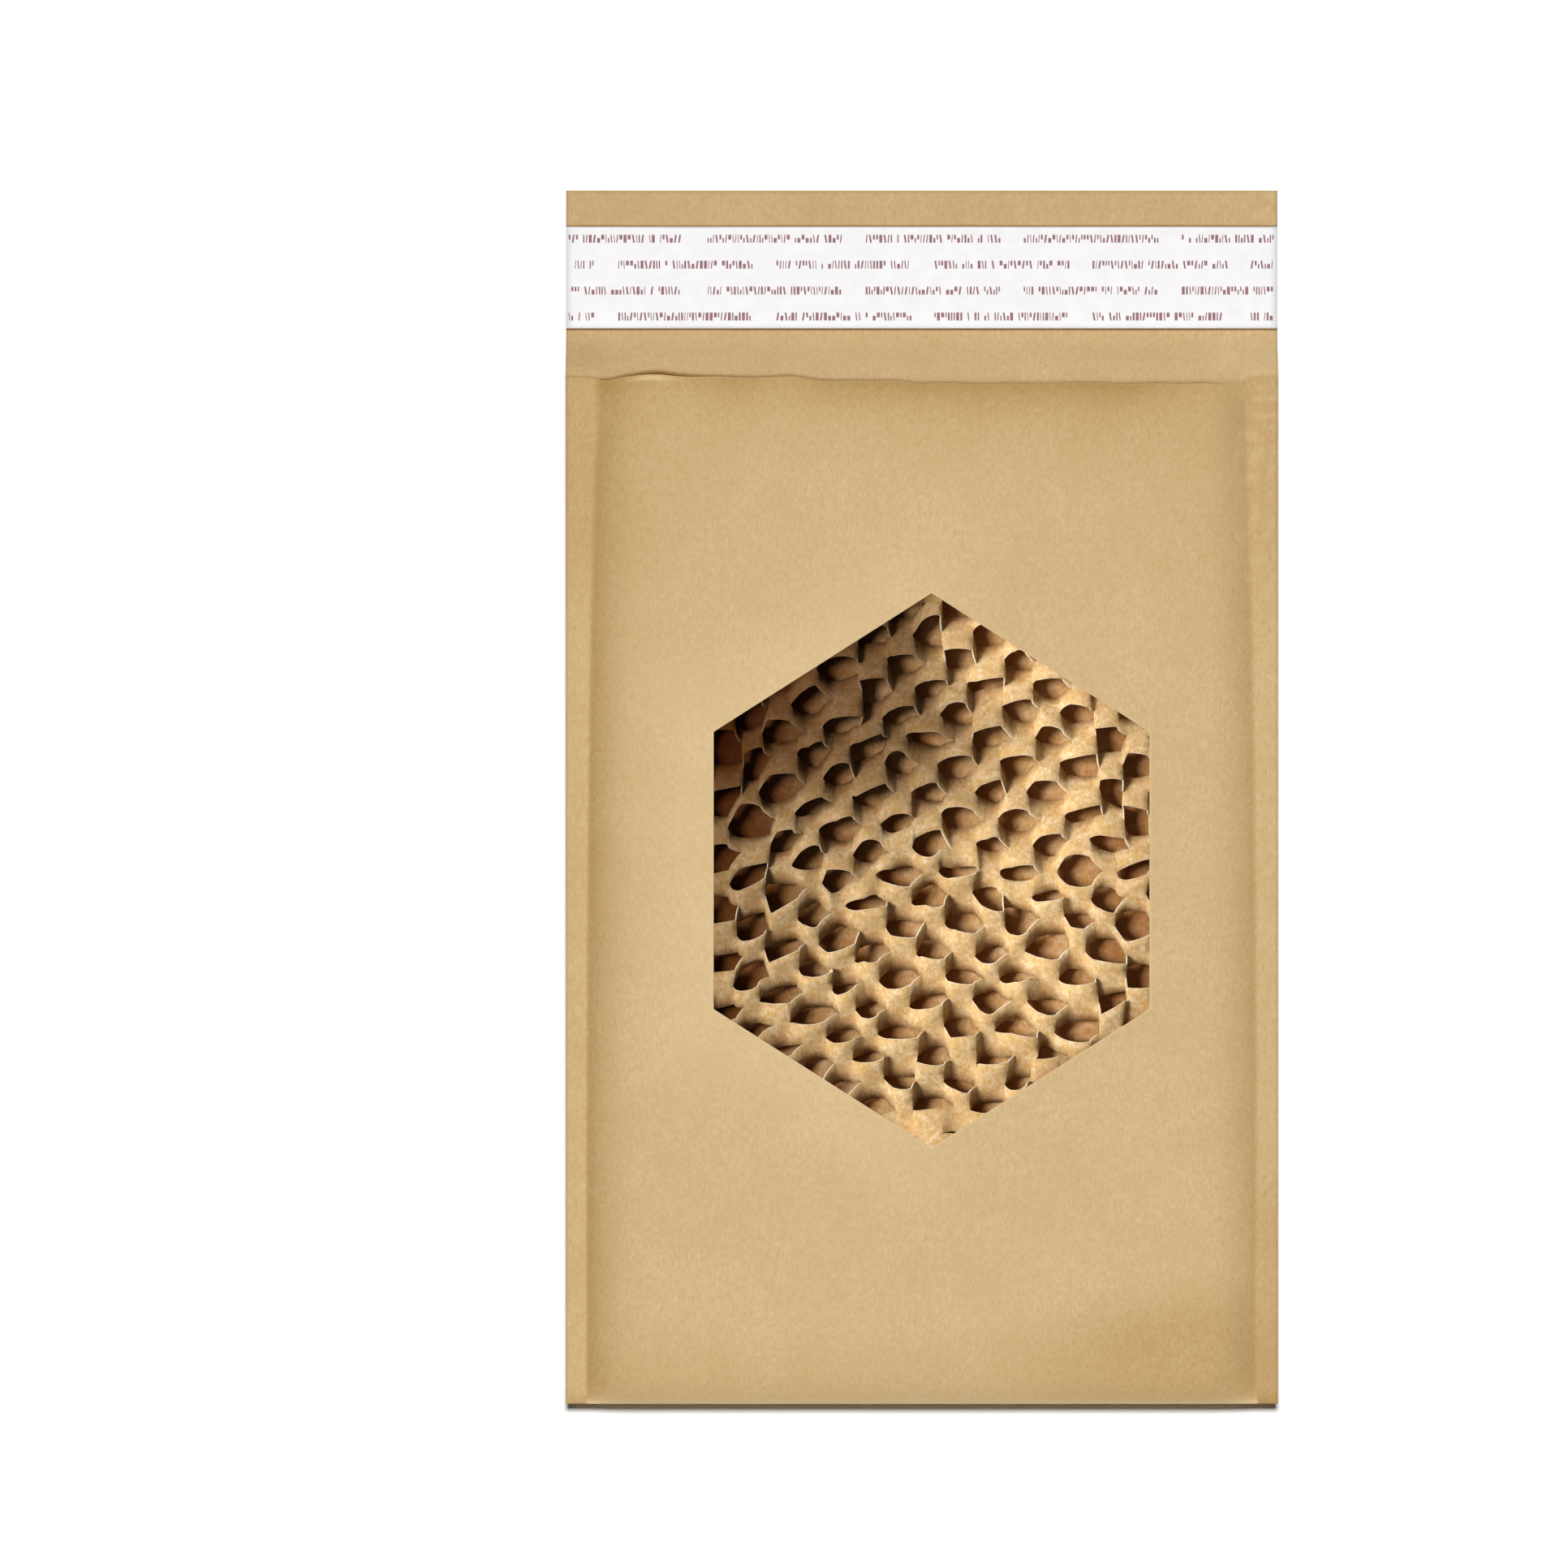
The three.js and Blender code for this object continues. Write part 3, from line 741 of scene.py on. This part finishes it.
def tinted(tree, colour, name, tint, blend="MULTIPLY"):
    """A colour that is tinted as far as the piece's named point value says."""
    amount = add(tree, "ShaderNodeAttribute", {"attribute_name": name}).outputs["Fac"]
    settings = {"data_type": "RGBA", "blend_type": blend, 7: linear(tint)}
    return add(tree, "ShaderNodeMix", settings, Factor=amount, _6=colour).outputs[2]


def kraft_outside():
    """Smooth face of brown kraft: warm tan with faint fibres, darkened by painted shade along its
    creases, margins, fold and lip, lit by painted highlights on its fold, cut edges and the lip's lifted
    place, and paler in a few patches."""
    material, tree, shader = new_material("kraft paper, smooth face")
    colour = paper_texture(tree, shader, "#dfc598", "#cdac79", 0.5, 18.0, 0.35, 0.25)
    creased = tinted(tree, colour, "painted_shade", "#dccdb0")
    tree.links.new(shader.inputs["Base Color"], tinted(tree, creased, "highlight_and_pale", "#f4d9a8", "MIX"))
    return material


def kraft_inside():
    """Rough face of the same kraft: a little darker and yellower, paler in places at the flap's right
    end, and darkened by painted shadow down in the pocket and along the lip and liner."""
    material, tree, shader = new_material("kraft paper, rough face")
    colour = paper_texture(tree, shader, "#d9bd8e", "#c6a573", 0.5, 18.0, 0.4, 0.35)
    rubbed = tinted(tree, colour, "highlight_and_pale", "#f4d9a8", "MIX")
    tree.links.new(shader.inputs["Base Color"], tinted(tree, rubbed, "pocket", "#967234"))
    return material


def honeycomb_paper(name, light, dark):
    """Thin recycled kraft, with shade painted in: deep where it sinks away from the window's upper left,
    and warm brown down in the cells."""
    material, tree, shader = new_material(name)
    shader.inputs["Specular IOR Level"].default_value = 0.05
    colour = paper_texture(tree, shader, light, dark, 1.0, 4.0, 0.6, 0.3)
    shaded = tinted(tree, colour, "shade", "#563917")
    tree.links.new(shader.inputs["Base Color"], tinted(tree, shaded, "cell_shade", "#a46c24"))
    return material


def honeycomb_material():
    """Face of the lining's paper: more speckled than the sleeve, with small clouds."""
    return honeycomb_paper("honeycomb kraft paper", "#f2d9af", "#c99d5c")


def cut_edge_highlight_material():
    """Cut edges of the lining's paper: open fibres, drawn paler than the face as a painted highlight
    where they catch the light.
    """
    return honeycomb_paper("honeycomb kraft, cut edge", "#fff4de", "#f4dfba")


def mottled(tree, light, dark, size):
    """A colour that drifts between two tones in soft clouds so many millimetres wide."""
    where = add(tree, "ShaderNodeTexCoord").outputs["Object"]
    cloud = add(tree, "ShaderNodeTexNoise", {"Scale": noise_scale(size), "Detail": 3.0}, Vector=where)
    settings = {"data_type": "RGBA", 6: linear(light), 7: linear(dark)}
    return add(tree, "ShaderNodeMix", settings, Factor=cloud.outputs[0]).outputs[2]


def adhesive_material():
    """Tacky clear-white adhesive, spread a little unevenly: a soft gloss at the strip's ends."""
    material, tree, shader = new_material("pressure adhesive")
    tree.links.new(shader.inputs["Base Color"], mottled(tree, "#ebe6da", "#ddd5c4", 3.5))
    shader.inputs["Specular IOR Level"].default_value = 0.5
    shader.inputs["Roughness"].default_value = 0.25
    return material


def release_material():
    """White silicone-coated release paper: bright and faintly sleek, with soft grey clouds."""
    material, tree, shader = new_material("release paper")
    tree.links.new(shader.inputs["Base Color"], mottled(tree, "#fdfcfc", "#eeecec", 4.0))
    shader.inputs["Specular IOR Level"].default_value = 0.25
    shader.inputs["Roughness"].default_value = 0.45
    return material


def ink_material():
    """Maroon printing ink on the release paper: thin, so that its tone is patchy within a shape."""
    material, tree, shader = new_material("maroon ink")
    tree.links.new(shader.inputs["Base Color"], mottled(tree, "#b58d92", "#7b4b51", 0.7))
    shader.inputs["Roughness"].default_value = 0.6
    return material


# Stage: floor, lamps and camera


def floor():
    """White table top that the envelope lies on."""
    material, tree, shader = new_material("white table")
    shader.inputs["Base Color"].default_value = linear("#ffffff")
    shader.inputs["Roughness"].default_value = 0.9
    mesh = bpy.data.meshes.new("table")
    far = TABLE_REACH * METRES
    mesh.from_pydata([(-far, -far, 0), (far, -far, 0), (far, far, 0), (-far, far, 0)], [], [(0, 1, 2, 3)])
    mesh.materials.append(material)
    table = bpy.data.objects.new("table", mesh)
    bpy.context.scene.collection.objects.link(table)
    return table


def linked(name, pieces, state):
    """A group of pieces for a lamp to include or exclude."""
    group = bpy.data.collections.new(name)
    for piece in pieces:
        group.objects.link(piece)
    for member in group.collection_objects:
        member.light_linking.link_state = state
    return group


def lamp(name, direction, share, angle):
    """A distant lamp that gives a level surface a share of its full brightness, and its light links."""
    direction = np.array(direction, float) / np.linalg.norm(direction)
    data = bpy.data.lights.new(name, "SUN")
    data.energy = np.pi * share / direction[2]
    data.angle = np.radians(angle)
    sun = bpy.data.objects.new(name, data)
    sun.rotation_euler = (0, np.arccos(direction[2]), np.arctan2(direction[1], direction[0]))
    bpy.context.scene.collection.objects.link(sun)
    return sun.light_linking


def lamps(outer, honeycomb, table):
    """Soft light from above, a stronger one from the top and a weaker one from the front for the outside,
    one that whitens the table and one from the left that rakes over the cells. The last one and the
    one from the front pass the sleeve, so that it throws no shadow of theirs."""
    all_but_table = linked("all but the table", [table], "EXCLUDE")
    outside = linked("all but the cells and the table", [honeycomb, table], "EXCLUDE")
    past_sleeve = linked("all but the sleeve", [outer], "EXCLUDE")
    lamp("room light", (0.0, 0.0, 1.0), 0.11, 100.0).receiver_collection = all_but_table
    lamp("top light", (-0.05, 0.35, 1.0), 0.56, 12.0).receiver_collection = outside
    front_light = lamp("front light", (0.0, -0.45, 1.0), 0.3, 20.0)
    front_light.receiver_collection = outside
    front_light.blocker_collection = past_sleeve
    table_light = lamp("table light", (0.0, 0.32, 1.0), 1.0, 14.0)
    table_light.receiver_collection = linked("the table", [table], "INCLUDE")
    window_light = lamp("window light", (-0.85, 0.1, 1.0), 1.12, 20.0)
    window_light.receiver_collection = linked("the cells", [honeycomb], "INCLUDE")
    window_light.blocker_collection = past_sleeve


def surroundings(share):
    """Even white surroundings: dim as a lamp, plain white to the eye."""
    world = bpy.data.worlds.new("white room")
    bpy.context.scene.world = world
    world.use_nodes = True
    tree = world.node_tree
    tree.nodes.clear()
    seen = add(tree, "ShaderNodeLightPath").outputs["Is Camera Ray"]
    lit = add(tree, "ShaderNodeBackground", {"Color": (1, 1, 1, 1), "Strength": share})
    shown = add(tree, "ShaderNodeBackground", {"Color": (1, 1, 1, 1), "Strength": 1.0})
    mixed = add(tree, "ShaderNodeMixShader", _0=seen, _1=lit.outputs[0], _2=shown.outputs[0])
    add(tree, "ShaderNodeOutputWorld", Surface=mixed.outputs[0])


def camera():
    """Looks straight down on the envelope from far off, with the flap at the top of the picture."""
    point = WIDTH / ENVELOPE_IN_PICTURE  # millimetres to a picture point
    data = bpy.data.cameras.new("camera")
    data.sensor_width = CAMERA_SENSOR
    data.lens = CAMERA_SENSOR * CAMERA_DISTANCE / (PICTURE_SIDE * point)
    data.clip_end = 4 * CAMERA_DISTANCE * METRES
    view = bpy.data.objects.new("camera", data)
    x, y = np.multiply(PICTURE_MIDDLE, point)
    view.location = np.multiply((x, y, CAMERA_DISTANCE + SCALE_HEIGHT), METRES)
    bpy.context.scene.collection.objects.link(view)
    bpy.context.scene.camera = view


outer = sleeve()
honeycomb = lining()
closure()
liner_print()
table = floor()
surroundings(0.03)
lamps(outer, honeycomb, table)
camera()
bpy.context.scene.view_settings.view_transform = "Standard"
